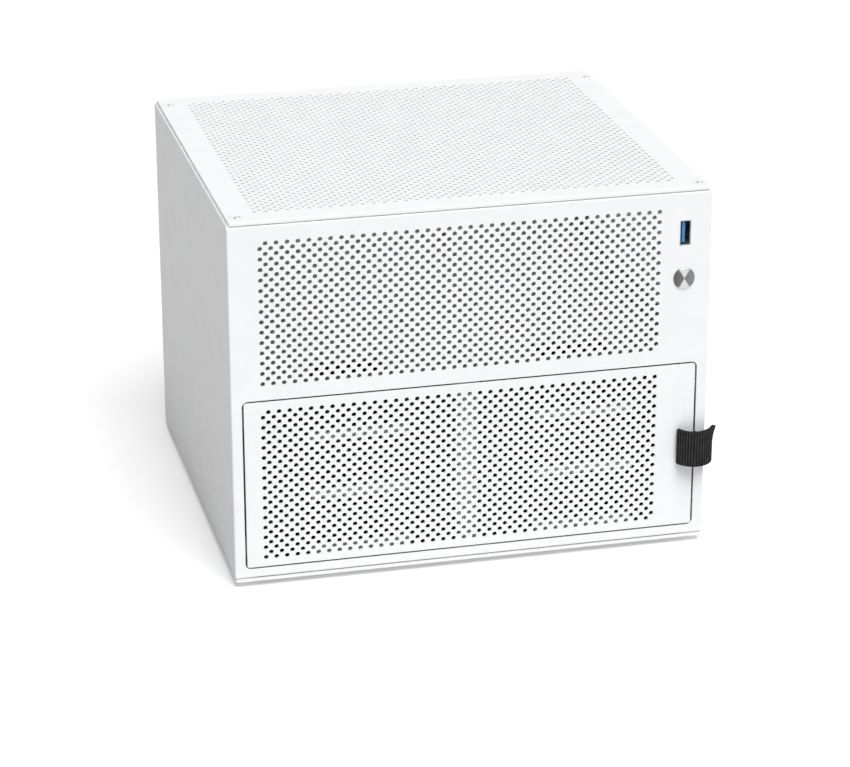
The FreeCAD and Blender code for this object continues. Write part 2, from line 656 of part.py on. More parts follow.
def fan_rotor(label, side):
    """A hub on a shaft, with one raked blade repeated round the axis."""
    body = new_body(label)
    mid = f"{side} * fan_shift"
    face = f"({FAN_FRONT} + hub_setback)"
    under = f"({face} + hub_depth)"
    shaft = revolve(body, mid, FAN_Z, [
        (face, "0"), (face, "shaft_radius"), (f"{under} + shaft_length", "shaft_radius"),
        (f"{under} + shaft_length", "0")])
    prism(body, "Additive", HUB_SIDES, under, mid, "fan_hub", "hub_depth")
    middle = f"({face} + blade_chord / 2)"
    chord = "blade_chord / 2"
    rise = "blade_rise / 2"
    root = "(fan_hub - blade_thick)"
    pad(body, "YZ", f"{mid} + {root}", f"blade_tip - {root}", 1, polygon(
        (f"{middle} - {chord}", f"{FAN_Z} - {rise}"),
        (f"{middle} - {chord}", f"{FAN_Z} - {rise} - blade_thick"),
        (f"{middle} + {chord}", f"{FAN_Z} + {rise} - blade_thick"),
        (f"{middle} + {chord}", f"{FAN_Z} + {rise}")))
    ring = body.newObject("PartDesign::PolarPattern", "ring")
    ring.Originals = [body.Tip]
    ring.Axis = (shaft, ["Axis0"])
    ring.Angle = 360
    bind(ring, Occurrences="blade_count")
    body.Tip = ring
    doc.recompute()


# Front socket and button

def usb_socket():
    """Metal shell, tongue with its insulator, the small board behind and its two spacers."""
    half = "(socket_width / 2)"
    tall = "(socket_height / 2)"
    start = f"(socket_recess - {HALF_D})"
    inner = "(socket_width / 2 - socket_wall)"
    inner_tall = "(socket_height / 2 - socket_wall)"
    pad(new_body("usb_shell"), "XZ", start, "socket_length", 1,
        rectangle(f"{PORT_X} - {half}", f"{PORT_X} + {half}", f"{SOCKET_Z} - {tall}", f"{SOCKET_Z} + {tall}"),
        rectangle(f"{PORT_X} - {inner}", f"{PORT_X} + {inner}",
                  f"{SOCKET_Z} - {inner_tall}", f"{SOCKET_Z} + {inner_tall}"))
    tongue = new_body("usb_tongue")
    block = f"({BOARD_FRONT} - insulator_depth)"
    pad(tongue, "XZ", block, "insulator_depth", 1,
        rectangle(f"{PORT_X} - {inner}", f"{PORT_X} + {inner}",
                  f"{SOCKET_Z} - {inner_tall}", f"{SOCKET_Z} + {inner_tall}"))
    left = f"({PORT_X} - {inner} + tongue_offset)"
    pad(tongue, "XZ", block, "tongue_length", -1,
        rectangle(left, f"{left} + tongue_thick",
                  f"{SOCKET_Z} - tongue_height / 2", f"{SOCKET_Z} + tongue_height / 2"))
    pad(new_body("usb_board"), "XZ", BOARD_FRONT, "board_thick", 1,
        rectangle(f"{PORT_X} - socket_board_width / 2", f"{PORT_X} + socket_board_width / 2",
                  f"{SOCKET_Z} - socket_board_height / 2", f"{SOCKET_Z} + socket_board_height / 2"))
    solids = []
    for end in (-1, 1):
        spot = (PORT_X, BOARD_FRONT, f"{SOCKET_Z} + {end} * (socket_board_height / 2 - spacer_inset)")
        spacer = primitive("Prism", spot, Circumradius="spacer_radius",
                           Height=f"{BOARD_FRONT} - {FRONT_BACK}")
        spacer.Polygon = 6
        solids.append(turn(spacer, Vector(1, 0, 0), 90))
    group("usb_spacers", solids)


def power_button():
    """A turned cap with a retaining flange, and the switch body that it pushes into."""
    face = f"(-{HALF_D} - button_proud)"
    behind = f"({FRONT_BACK} + flange_air)"
    flange = f"({behind} + flange_thick)"
    revolve(new_body("power_button"), PORT_X, BUTTON_Z, [
        (face, "0"), (face, "button_radius - button_bevel"), (f"{face} + button_bevel", "button_radius"),
        (behind, "button_radius"), (behind, "flange_radius"), (flange, "flange_radius"), (flange, "0")])
    well = "(flange_radius + button_air)"
    body = new_body("power_switch")
    pad(body, "XZ", FRONT_BACK, "switch_length", 1,
        rectangle(f"{PORT_X} - switch_half", f"{PORT_X} + switch_half",
                  f"{BUTTON_Z} - switch_half", f"{BUTTON_Z} + switch_half"))
    pocket(body, "XZ", FRONT_BACK, f"{flange} + button_travel + flange_air - {FRONT_BACK}", 1,
           rectangle(f"{PORT_X} - {well}", f"{PORT_X} + {well}",
                     f"{BUTTON_Z} - {well}", f"{BUTTON_Z} + {well}"))


# Door

STEM_X = f"({DOOR_WIDTH} / 2 - stem_gap - webbing_thick)"
MAGNET_SPOTS = [
    (f"{sx} * ({DOOR_WIDTH} / 2 - magnet_inset)", f"{DOOR_MID} + {sz} * ({DOOR_HEIGHT} / 2 - magnet_drop)")
    for sx in (-1, 1) for sz in (-1, 1)
]


def door_panel():
    """A loose perforated plate with a notch in its right edge where the loop comes through."""
    body = new_body("door_panel")
    half = f"({DOOR_WIDTH} / 2)"
    pad(body, "XZ", f"-{HALF_D}", "door_thick", 1,
        rounded(f"-{half}", half, f"({DOOR_MID} - {DOOR_HEIGHT} / 2)", f"({DOOR_MID} + {DOOR_HEIGHT} / 2)",
                "door_radius"))
    notch = "(stem_width / 2 + notch_margin)"
    pocket(body, "XZ", f"-{HALF_D}", "2 * door_thick", 1,
           rectangle(f"{STEM_X} - webbing_thick - stem_gap", f"{half} + door_gap",
                     f"{DOOR_MID} - {notch}", f"{DOOR_MID} + {notch}"))
    field = (GRILLE_WIDTH, f"({DOOR_HEIGHT} - 2 * door_grille_margin)")
    perforate(body, "XZ", f"-{HALF_D}", "door_thick", "punch_radius", (GRILLE_MID, DOOR_MID),
              field, ("grille_columns", "door_grille_rows"))


def door_magnets():
    group("door_magnets", [
        primitive("Box", (f"{x} - magnet_width / 2", DOOR_BACK, f"{z} - magnet_height / 2"),
                  Length="magnet_width", Width="magnet_thick", Height="magnet_height")
        for x, z in MAGNET_SPOTS])


def door_strikes():
    """Steel angles on the front panel's back that the magnets hold to."""
    face = f"({DOOR_BACK} + magnet_thick + strike_air)"
    solids = []
    for x, z in MAGNET_SPOTS:
        side = 1 if number(x) > 0 else -1
        outer = f"({SIDE_IN} - bracket_thick)"
        plate_x = f"({outer} - strike_reach)" if side > 0 else f"-{outer}"
        leg_x = f"({outer} - strike_leg)" if side > 0 else f"-{outer}"
        low = f"{z} - strike_height / 2"
        plate = primitive("Box", (plate_x, face, low), Length="strike_reach", Width="strike_thick",
                          Height="strike_height")
        leg = primitive("Box", (leg_x, FRONT_BACK, low), Length="strike_leg",
                        Width=f"{face} + strike_thick - {FRONT_BACK}", Height="strike_height")
        solids.append(fuse(plate, leg))
    group("door_strikes", solids)


def loop_band(thick, back, front):
    """The folded strap seen from above: an arc that stands forward at its middle, with round ends."""
    middle = number(f"{STEM_X} + loop_shift")
    half = number("loop_half") - thick
    rise = back - front
    radius = (half ** 2 + rise ** 2) / (2 * rise)
    centre = Vector(middle, front + radius, 0)
    left, right = Vector(middle - half, back, 0) - centre, Vector(middle + half, back, 0) - centre
    ahead = Vector(0, -1, 0)

    def spot(way, reach):
        return centre + way * (reach / way.Length)

    def tip(way, side):
        return centre + way + Vector(-way.y, way.x, 0) * (side * thick / radius)
    outer, inner = radius + thick, radius - thick
    edges = [
        Part.Arc(spot(left, outer), spot(ahead, outer), spot(right, outer)),
        Part.Arc(spot(right, outer), tip(right, 1), spot(right, inner)),
        Part.Arc(spot(right, inner), spot(ahead, inner), spot(left, inner)),
        Part.Arc(spot(left, inner), tip(left, -1), spot(left, outer)),
    ]
    return Part.Face(Part.Wire([edge.toShape() for edge in edges]))


def pull_tab():
    """A webbing loop pressed flat: a curved double band in front, a narrower stem of its two ends
    through the notch, and a tail folded flat behind the door."""
    width = number("loop_width")
    neck = number("stem_width")
    thick = number("webbing_thick")
    low = number(f"{DOOR_MID} - loop_width / 2")
    back = number(f"-{HALF_D} - loop_air") - thick
    front = number(f"-{HALF_D} - loop_air - loop_bulge") + thick
    middle = number(STEM_X)
    seat = number(DOOR_BACK)
    mouth = front + thick / 2
    foot = (width - neck) / 2
    band = loop_band(thick, back, front).extrude(Vector(0, 0, width))
    stem = Part.makeBox(2 * thick, seat + 2 * thick - mouth, neck, Vector(middle - thick, mouth, foot))
    tail = Part.makeBox(number("tail_length"), 2 * thick, neck,
                        Vector(middle + thick - number("tail_length"), seat, foot))
    piece = new_piece("Part::Feature", "pull_tab")
    piece.Shape = band.fuse(stem).fuse(tail).removeSplitter()
    piece.Placement = FreeCAD.Placement(Vector(0, 0, low), FreeCAD.Rotation())


def tab_clamp():
    """A plate that holds the loop's tail to the back of the door."""
    seat = f"({DOOR_BACK} + 2 * webbing_thick)"
    right = f"({STEM_X} + webbing_thick - (tail_length - clamp_length) / 2)"
    pad(new_body("tab_clamp"), "XZ", seat, "clamp_thick", 1,
        rectangle(f"{right} - clamp_length", right,
                  f"{DOOR_MID} - stem_width / 2", f"{DOOR_MID} + stem_width / 2"))


# Assembly

def build():
    rubber_feet()
    base_plate()
    side_panel("left_side_panel", -1)
    side_panel("right_side_panel", 1)
    front_panel()
    rear_panel()
    corner_brackets()
    top_cover()
    mid_deck()
    board_standoffs()
    cage_wall("left_cage_wall", -1)
    cage_wall("right_cage_wall", 1)
    cage_divider()
    for index, (side, row) in enumerate([(s, r) for s in (-1, 1) for r in range(3)], 1):
        drive_tray(f"drive_tray_{index}", side, row)
        tray_handle(f"tray_handle_{index}", side, row)
    backplane_board()
    drive_sockets()
    power_sockets()
    for name, side in (("left", -1), ("right", 1)):
        fan_frame(f"{name}_fan_frame", side)
        fan_rotor(f"{name}_fan_rotor", side)
    usb_socket()
    power_button()
    door_panel()
    door_magnets()
    door_strikes()
    pull_tab()
    tab_clamp()


def write_parts():
    """Check every feature and piece, then write one STEP file for each piece."""
    doc.recompute()
    failed = [item.Name for item in doc.Objects if {"Invalid", "Error"} & set(item.State)]
    if failed:
        raise RuntimeError(f"failed features: {failed}")
    for piece in pieces:
        if piece.Shape.isNull() or not piece.Shape.isValid():
            raise RuntimeError(f"{piece.Label}: bad shape")
    os.makedirs("parts", exist_ok=True)
    for piece in pieces:
        piece.Shape.exportStep(f"parts/{piece.Label}.step")
    print(len(pieces), "pieces written")


build()
write_parts()
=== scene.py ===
import math

import bpy
from mathutils import Matrix, Vector
from mathutils.geometry import delaunay_2d_cdt


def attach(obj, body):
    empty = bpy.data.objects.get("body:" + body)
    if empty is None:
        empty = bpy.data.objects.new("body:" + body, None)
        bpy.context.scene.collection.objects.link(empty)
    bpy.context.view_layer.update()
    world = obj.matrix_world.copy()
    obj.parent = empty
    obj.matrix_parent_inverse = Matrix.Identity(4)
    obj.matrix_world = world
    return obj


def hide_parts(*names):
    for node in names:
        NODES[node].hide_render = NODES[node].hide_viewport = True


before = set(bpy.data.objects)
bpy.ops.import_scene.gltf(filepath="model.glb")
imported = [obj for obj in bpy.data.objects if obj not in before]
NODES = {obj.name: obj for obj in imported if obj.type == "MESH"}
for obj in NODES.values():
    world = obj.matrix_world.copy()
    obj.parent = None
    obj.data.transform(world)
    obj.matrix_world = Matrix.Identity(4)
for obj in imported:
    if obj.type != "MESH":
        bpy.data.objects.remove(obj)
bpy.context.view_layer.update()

# White storage case: fine perforated panels, screws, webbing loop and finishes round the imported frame.
# Lengths are millimetres in the part's frame until a mesh is made; materials and the studio are in metres.

MM = 0.001

# Sizes of the case and its sheets; the walls are the two sides and the rear

HALF_W, HALF_D, TOP = 129.0, 115.0, 203.0
SHEET, SIDE_THICK, REAR_THICK, COVER_THICK = 1.2, 1.5, 1.5, 2.0
FRONT_LOW, FRONT_HIGH = 5.5, 200.5
WALL_LOW, WALL_HIGH = 5.0, 201.0
SIDE_FLANGE = 119.0
LOW_BEND, TOP_BEND, BEND_STEPS = 1.6, 0.7, 6
COVER_HALF = 127.8

# Door and openings: left, right, low and high, or the middle across and up

DOOR = (-122.3, 122.3, 11.35, 104.35)
DOOR_GAP, DOOR_CORNER, DOOR_OPENING_CORNER = 1.0, 1.2, 3.2
NOTCH_X, NOTCH_LOW, NOTCH_HIGH = 119.2, 51.35, 64.35
USB = (114.4, 178.2)
USB_HALF_W, USB_HALF_H = 3.05, 6.95
BUTTON = (114.4, 153.2)
BUTTON_HOLE_R = 5.82
BOARD_OPENING = (-117.375, 41.375, 112.5, 156.95)
SUPPLY_OPENING = (45.5, 123.5, 112.5, 150.5)
FAN_X, FAN_Z, FAN_OPENING_R = 50.0, 55.0, 36.0

# Strips behind the front's seams: half width, back, low and high

SEAM_FOLD = (119.0, -106.0, 199.3, 200.75)
DOOR_FOLD = (123.0, -111.8, DOOR[3] + DOOR_GAP, 106.0)

# Perforation: a field is the place of its first hole, its columns and its rows

PITCH = 2.828
HOLE_R, COVER_HOLE_R = 1.27, 1.18
FINE_SIDES, COARSE_SIDES = 16, 12
FRONT_FIELD = (-112.0, 114.4, 76, 28)
DOOR_FIELD = (-112.2, 16.6, 76, 30)
COVER_FIELD = (-111.7, -100.4, 80, 72)
FAN_TILES = 26

# Screws, contacts, feet and button: a contact's x and z are from the socket's middle, a profile is
# (radius, height) points, and the button's heights are in front of the panel

COVER_SCREWS = [(-123.0, -106.5), (123.0, -106.5), (-123.0, 102.0), (123.0, 102.0)]
COVER_SCREW_R, COVER_SCREW_HOLE_R, COVER_SCREW_SINK = 2.75, 3.0, 0.25
REAR_SCREW_X, REAR_SCREW_Z, REAR_SCREW_RISE = 123.5, (14.0, 103.0, 192.0), 1.1
FAN_SCREW_REACH = 35.75
BASE_SCREW_X, BASE_SCREW_Y, BASE_SCREW_Z = 121.0, 60.0, 2.3
STEEL_SCREW_R = 3.0
SCREW_SIDES, SCREW_THICK = 24, 1.4
RECESS_REACH, RECESS_HALF, RECESS_MARGIN = 0.68, 0.18, 0.02
RECESS_DEPTH, RECESS_FLOOR = 1.0, 0.3
CONTACT_X, CONTACT_Y, CONTACT_HALF = (0.30, 0.49), (-112.2, -103.0), 0.5
CONTACT_Z = (-3.5, -1.0, 1.0, 3.5)
# The tongue's left and right, over which its painted highlight and shade are laid.
TONGUE_X = (112.85, 114.75)
FOOT_X, FOOT_Y, FOOT_SIDES = 109.0, 95.0, 40
FOOT_PROFILE = [(0.0, 3.4), (7.8, 3.4), (8.0, 3.0), (7.6, 0.7), (7.2, 0.15), (6.6, 0.0), (3.2, 0.0),
                (2.9, 0.3), (2.6, 1.6), (0.0, 1.6)]
BUTTON_MIDDLE_Y, BUTTON_SIDES = -114.0, 64
BUTTON_PROFILE = [(0.0, 0.75), (3.0, 0.76), (5.2, 0.8), (5.45, 0.78), (5.65, 0.66), (5.75, 0.45),
                  (5.75, -1.3), (7.0, -1.3), (7.0, -2.3), (0.0, -2.3)]

# Webbing loop: a band in front of the door, a stem through the notch and a tail behind the door.
# Stem and tail have a share of the strap's width, over a length from each of its two ends.

LOOP_X, LOOP_HALF = 122.6, 10.2
LOOP_BACK, LOOP_FRONT = -115.4, -124.0
LOOP_LOW, LOOP_HIGH = 47.85, 67.85
STEM_X, STEM_SHARE, STEM_ENDS, STEM_TAPER = 120.75, 0.6, (18.6, 20.8), 1.5
TAIL_X, TAIL_Y = 107.95, -113.8
STRAP, LAYER_PLAY, STRAP_BEND, STRAP_ROWS = 1.2, 0.02, 0.9, 16
RIB, RIB_STEPS, RIB_DEPTH, RIB_HALF, RIB_POWER = 1.5, 8, 0.28, 0.56, 1.8
SELVEDGE, SELVEDGE_SIDE, SELVEDGE_DROP = 0.3, 0.75, 0.08
FLARE_X, FLARE_RUN, FLARE_RISE = 124.5, 8.0, 10.0
FLARE_OUT, FLARE_UP = 1.8, 0.3

# Studio, in metres and degrees, and the camera, whose place is in millimetres

FLOOR_HALF, FLOOR_TONE, FLOOR_GLOW = 6.0, 0.72, 0.32
ROOM_LEFT, ROOM_RIGHT = 0.16, 0.60
KEY_SPOT, KEY_STRENGTH, KEY_SPREAD = (0.14, -1.22, 2.1), 2.8, 38
CAMERA_SPOT = (-373.58, -1539.22, 686.1)
CAMERA_WAY, CAMERA_ROLL = (0.22046, 0.90351, -0.36751), -0.077
CAMERA_LENS, CAMERA_SENSOR, CAMERA_FAR = 127.907, 36.0, 50


# Nodes of materials

GRAIN = 0.0001
NOISE_LOW, NOISE_HIGH = 0.35, 0.65


def node(tree, kind, inputs=(), **settings):
    """A new node; an input given as another node's output is linked, any other value is set."""
    made = tree.nodes.new(kind)
    for name, value in settings.items():
        setattr(made, name, value)
    for key, value in dict(inputs).items():
        if isinstance(value, bpy.types.NodeSocket):
            tree.links.new(value, made.inputs[key])
        else:
            made.inputs[key].default_value = value
    return made


def calc(tree, operation, *values):
    """One step of arithmetic on outputs or numbers."""
    return node(tree, "ShaderNodeMath", enumerate(values), operation=operation).outputs["Value"]


def fit(tree, value, old, new, **settings):
    """A value moved from an old range to a new one."""
    ends = {"Value": value, "From Min": old[0], "From Max": old[1], "To Min": new[0], "To Max": new[1]}
    return node(tree, "ShaderNodeMapRange", ends, **settings).outputs["Result"]


def coords(tree, kind="Object"):
    return node(tree, "ShaderNodeTexCoord").outputs[kind]


def axes(tree, vector):
    return node(tree, "ShaderNodeSeparateXYZ", {"Vector": vector}).outputs


def color_ramp(tree, factor, shades):
    """Colours along a factor, from (place, colour) stops in order."""
    ramp = node(tree, "ShaderNodeValToRGB", {"Fac": factor})
    stops = ramp.color_ramp.elements
    while len(stops) < len(shades):
        stops.new(0.5)
    for stop, (place, color) in zip(stops, shades):
        stop.position = place
        stop.color = (*color, 1.0)
    return ramp.outputs["Color"]


def material(name, color, rough, **sockets):
    """A principled material; keyword names are socket names with underscores."""
    mat = bpy.data.materials.new(name)
    mat.use_nodes = True
    shader = mat.node_tree.nodes["Principled BSDF"]
    shader.inputs["Base Color"].default_value = (*color, 1.0)
    shader.inputs["Roughness"].default_value = rough
    for key, value in sockets.items():
        shader.inputs[key.replace("_", " ")].default_value = value
    return mat


def drive(mat, socket, output):
    """Link an output to a socket of the material's shader."""
    tree = mat.node_tree
    tree.links.new(output, tree.nodes["Principled BSDF"].inputs[socket])


def noise(mat, scale, detail=3.0, stretch=None):
    tree = mat.node_tree
    source = coords(tree)
    if stretch:
        source = node(tree, "ShaderNodeMapping", {"Vector": source, "Scale": stretch}).outputs["Vector"]
    texture = node(tree, "ShaderNodeTexNoise", {"Vector": source, "Scale": scale, "Detail": detail})
    return texture.outputs["Fac"]


def tint(mat, factor, dark, light, start=NOISE_LOW, stop=NOISE_HIGH):
    """Drive the base colour between two colours by a texture."""
    drive(mat, "Base Color", color_ramp(mat.node_tree, factor, [(start, dark), (stop, light)]))


def gloss(mat, factor, low, high):
    """Drive the roughness between two values by a texture."""
    drive(mat, "Roughness", fit(mat.node_tree, factor, (NOISE_LOW, NOISE_HIGH), (low, high)))


def relief(mat, factor, strength, distance=GRAIN):
    inputs = {"Height": factor, "Strength": strength, "Distance": distance}
    drive(mat, "Normal", node(mat.node_tree, "ShaderNodeBump", inputs).outputs["Normal"])


# Materials

def powder_coat(name, dark, light):
    """Fine sprayed coat: a hair of tone, uneven gloss and an orange-peel surface."""
    mat = material(name, light, rough=0.45)
    tint(mat, noise(mat, scale=60), dark, light)
    gloss(mat, noise(mat, scale=400), low=0.40, high=0.52)
    relief(mat, noise(mat, scale=1500, detail=2.0), strength=0.10)
    return mat


def moulded(name, dark, light, rough):
    """Moulded plastic with a fine spark-eroded texture."""
    mat = material(name, light, rough)
    tint(mat, noise(mat, scale=90), dark, light)
    gloss(mat, noise(mat, scale=500), low=rough - 0.06, high=rough + 0.08)
    relief(mat, noise(mat, scale=2600, detail=2.0), strength=0.15)
    return mat


def rolled_metal(name, dark, light, rough, stretch):
    """Metal with drawn streaks along one axis."""
    mat = material(name, light, rough, Metallic=1.0)
    tint(mat, noise(mat, scale=300, stretch=stretch), dark, light)
    gloss(mat, noise(mat, scale=500, detail=2.0, stretch=stretch), low=rough - 0.08, high=rough + 0.1)
    relief(mat, noise(mat, scale=900, detail=2.0, stretch=stretch), strength=0.08)
    return mat


def tongue_blue_painted_light():
    """Moulded blue, with a painted highlight near the middle of the tongue and painted shade darker towards
    its two edges.
    """
    mat = material("blue_plastic", (0.05, 0.29, 0.60), rough=0.3)
    gloss(mat, noise(mat, scale=500), low=0.24, high=0.38)
    relief(mat, noise(mat, scale=2600, detail=2.0), strength=0.15)
    tree = mat.node_tree
    left, right = TONGUE_X
    # Painted light across the tongue: dark blue at both edges as painted shade, light blue near the middle as
    # a painted highlight.
    across = fit(tree, axes(tree, coords(tree))["X"], (left * MM, right * MM), (0.0, 1.0))
    shades = [(0.0, (0.008, 0.07, 0.22)), (0.45, (0.055, 0.30, 0.62)), (0.7, (0.04, 0.24, 0.54)),
              (1.0, (0.008, 0.08, 0.25))]
    drive(mat, "Base Color", color_ramp(tree, across, shades))
    return mat


def circuit_board():
    """Solder mask over a net of traces."""
    mat = material("solder_mask", (0.02, 0.10, 0.05), rough=0.35)
    tree = mat.node_tree
    upright = node(tree, "ShaderNodeMapping", {"Vector": coords(tree), "Rotation": (math.pi / 2, 0, 0)})
    traces = node(tree, "ShaderNodeTexBrick", {
        "Vector": upright.outputs["Vector"], "Scale": 160, "Mortar Size": 0.03,
        "Color1": (0.012, 0.075, 0.035, 1), "Color2": (0.016, 0.095, 0.045, 1),
        "Mortar": (0.03, 0.16, 0.075, 1)})
    drive(mat, "Base Color", traces.outputs["Color"])
    relief(mat, traces.outputs["Fac"], strength=0.3, distance=GRAIN / 2)
    return mat


def webbing_cloth():
    """Black woven yarn: painted highlights on the rib crests, uneven along them, over a darker ground, and
    fibres along the ribs.
    """
    mat = material("webbing_black", (0.012, 0.012, 0.013), rough=0.7, Specular_IOR_Level=0.2)
    tree = mat.node_tree
    ribs = node(tree, "ShaderNodeAttribute", attribute_name="rib").outputs["Fac"]
    # Painted highlight: the base colour is lighter on the rib crests, broken up by noise.
    painted_crest_highlight = calc(tree, "MULTIPLY", ribs, noise(mat, scale=260))
    tint(mat, painted_crest_highlight, (0.004, 0.004, 0.0045), (0.055, 0.055, 0.057), start=0.15, stop=0.62)
    relief(mat, noise(mat, scale=2400, stretch=(1.0, 1.0, 0.4)), strength=0.5, distance=1.5 * GRAIN)
    return mat


def turned_metal_painted_fan():
    """A lathe-turned face: rings about the object's Y axis, and a painted reflection in the base colour: a
    two-tone fan, bright above and below the middle and dark to the sides, with painted shade in the dark
    sectors that grows lighter to the right.
    """
    mat = material("turned_metal_painted_fan", (0.7, 0.7, 0.72), rough=0.32, Metallic=1.0, Anisotropic=0.7)
    tree = mat.node_tree
    source = coords(tree)
    rings = node(tree, "ShaderNodeTexWave", {"Vector": source, "Scale": 1600, "Distortion": 1.5, "Detail": 2},
                 wave_type="RINGS", rings_direction="Y")
    relief(mat, rings.outputs["Fac"], strength=0.12)
    tangent = node(tree, "ShaderNodeTangent", direction_type="RADIAL", axis="Y")
    drive(mat, "Tangent", tangent.outputs["Tangent"])
    # Painted reflection: the base colour is bright in the sectors above and below the middle and dark in the
    # sectors to the sides, where the rings' highlight would fall; the dark sectors carry painted shade,
    # darker at the left.
    place = axes(tree, source)
    angle = calc(tree, "ARCTAN2", place["Z"], place["X"])
    upright = calc(tree, "ABSOLUTE", calc(tree, "SINE", angle))
    reach, left, right, bright = 0.006, 0.15, 0.36, 0.93
    shade = fit(tree, place["X"], (-reach, reach), (left, right))
    start, stop = 0.78, 0.94
    fan = fit(tree, upright, (start, stop), (shade, bright), interpolation_type="SMOOTHSTEP")
    drive(mat, "Base Color", fan)
    return mat


WHITE = powder_coat("white_powder_coat", (0.875, 0.880, 0.890), (0.895, 0.900, 0.910))
INNER = powder_coat("inner_white_coat", (0.80, 0.80, 0.81), (0.84, 0.84, 0.85))
DECK = powder_coat("deck_grey_coat", (0.26, 0.26, 0.27), (0.30, 0.30, 0.31))
STEEL = rolled_metal("plated_steel", (0.56, 0.57, 0.58), (0.68, 0.69, 0.70), 0.34, (1.0, 0.08, 1.0))
BRASS = rolled_metal("turned_brass", (0.62, 0.48, 0.24), (0.76, 0.62, 0.34), 0.3, (1.0, 1.0, 6.0))
GOLD = rolled_metal("contact_gold", (0.75, 0.55, 0.22), (0.90, 0.70, 0.32), 0.25, (1.0, 0.2, 1.0))
TRAY = moulded("tray_black", (0.007, 0.007, 0.008), (0.012, 0.012, 0.013), 0.6)
HANDLE = moulded("handle_grey", (0.70, 0.71, 0.72), (0.78, 0.79, 0.80), 0.45)
BLACK = moulded("black_plastic", (0.016, 0.016, 0.018), (0.028, 0.028, 0.030), 0.45)
RUBBER = moulded("foot_rubber", (0.02, 0.02, 0.02), (0.04, 0.04, 0.04), 0.8)
# Painted shade for the screws' recesses: a near-black laid inside each one.
RECESS = moulded("screw_recess_painted_shade", (0.05, 0.05, 0.05), (0.08, 0.08, 0.082), 0.6)
BLUE = tongue_blue_painted_light()
BOARD = circuit_board()
WEBBING = webbing_cloth()
TURNED = turned_metal_painted_fan()


# Meshes

CLOSE = 1e-6
EDGE_STEPS = 4
LEAST_BEND = 0.02
BOX_FACES = [(0, 1, 3, 2), (4, 6, 7, 5), (0, 4, 5, 1), (2, 3, 7, 6), (0, 2, 6, 4), (1, 5, 7, 3)]


def add(name, verts, faces, mat, body, slot, origin=(0, 0, 0), smooth=False):
    """A piece from millimetre points, riding on a body."""
    base = Vector(origin)
    mesh = bpy.data.meshes.new(name)
    mesh.from_pydata([(Vector(v) - base) * MM for v in verts], [], faces)
    mesh.materials.append(mat)
    if smooth:
        mesh.polygons.foreach_set("use_smooth", [True] * len(mesh.polygons))
    obj = bpy.data.objects.new(name, mesh)
    obj.location = base * MM
    bpy.context.scene.collection.objects.link(obj)
    bpy.context.view_layer.update()
    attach(obj, body)
    return obj


def merge(parts):
    """Several (verts, faces) pairs as one."""
    verts, faces = [], []
    for more, sides in parts:
        start = len(verts)
        verts += more
        faces += [tuple(start + i for i in side) for side in sides]
    return verts, faces


def blocks(name, boxes, mat, body, slot):
    """Closed boxes as one piece, each given by two opposite corners."""
    parts = []
    for low, high in boxes:
        verts = [(x, y, z) for x in (low[0], high[0]) for y in (low[1], high[1]) for z in (low[2], high[2])]
        parts.append((verts, BOX_FACES))
    add(name, *merge(parts), mat, body, slot)


def circle(radius, count):
    turns = [2 * math.pi * k / count for k in range(count)]
    return [(radius * math.cos(t), radius * math.sin(t)) for t in turns]


def quarter(count):
    """Angles of a quarter turn, both ends included."""
    return [math.pi / 2 * k / count for k in range(count + 1)]


def rounded(corners, radius, steps=5):
    """A loop that can grow: corner points counter-clockwise, each rounded by a radius."""
    count = len(corners)
    points = [Vector(c) for c in corners]
    ways = [(points[(i + 1) % count] - points[i]).normalized() for i in range(count)]
    outs = [Vector((w.y, -w.x)) for w in ways]

    def at(grow):
        loop = []
        for i in range(count):
            before, after = outs[i - 1], outs[i]
            corner = points[i] + (before + after) * (grow / (1 + before.dot(after)))
            side = ways[i - 1].cross(ways[i])
            bend = max(radius + (grow if side > 0 else -grow), LEAST_BEND)
            first = corner - ways[i - 1] * bend
            last = corner + ways[i] * bend
            centre = first + last - corner
            for t in quarter(steps):
                loop.append(centre + (first - centre) * math.cos(t) + (last - centre) * math.sin(t))
        return loop
    return at


def rectangle(left, right, low, high, radius, steps=5):
    return rounded([(left, low), (right, low), (right, high), (left, high)], radius, steps)


def ring(across, up, radius, count=48):
    def at(grow):
        return [Vector((across + x, up + y)) for x, y in circle(radius + grow, count)]
    return at


def cross(reach, half):
    """A four-armed recess outline, the same at every step of its rim."""
    arm = [(reach, -half), (reach, half), (half, half)]
    spots = []
    for _ in range(4):
        spots += [Vector(spot) for spot in arm]
        arm = [(-y, x) for x, y in arm]

    def at(grow):
        return spots
    return at


def inside(point, loops):
    """Even-odd test against a set of loops."""
    hits = 0
    for loop in loops:
        for i, a in enumerate(loop):
            b = loop[i - 1]
            if (a.y > point.y) != (b.y > point.y):
                if point.x < (b.x - a.x) * (point.y - a.y) / (b.y - a.y) + a.x:
                    hits += 1
    return hits % 2 == 1


def rim_of(grid):
    """The border of a grid, counter-clockwise from its first corner."""
    rim = grid[0][:-1] + [line[-1] for line in grid[:-1]]
    return rim + grid[-1][:0:-1] + [line[0] for line in grid[:0:-1]]


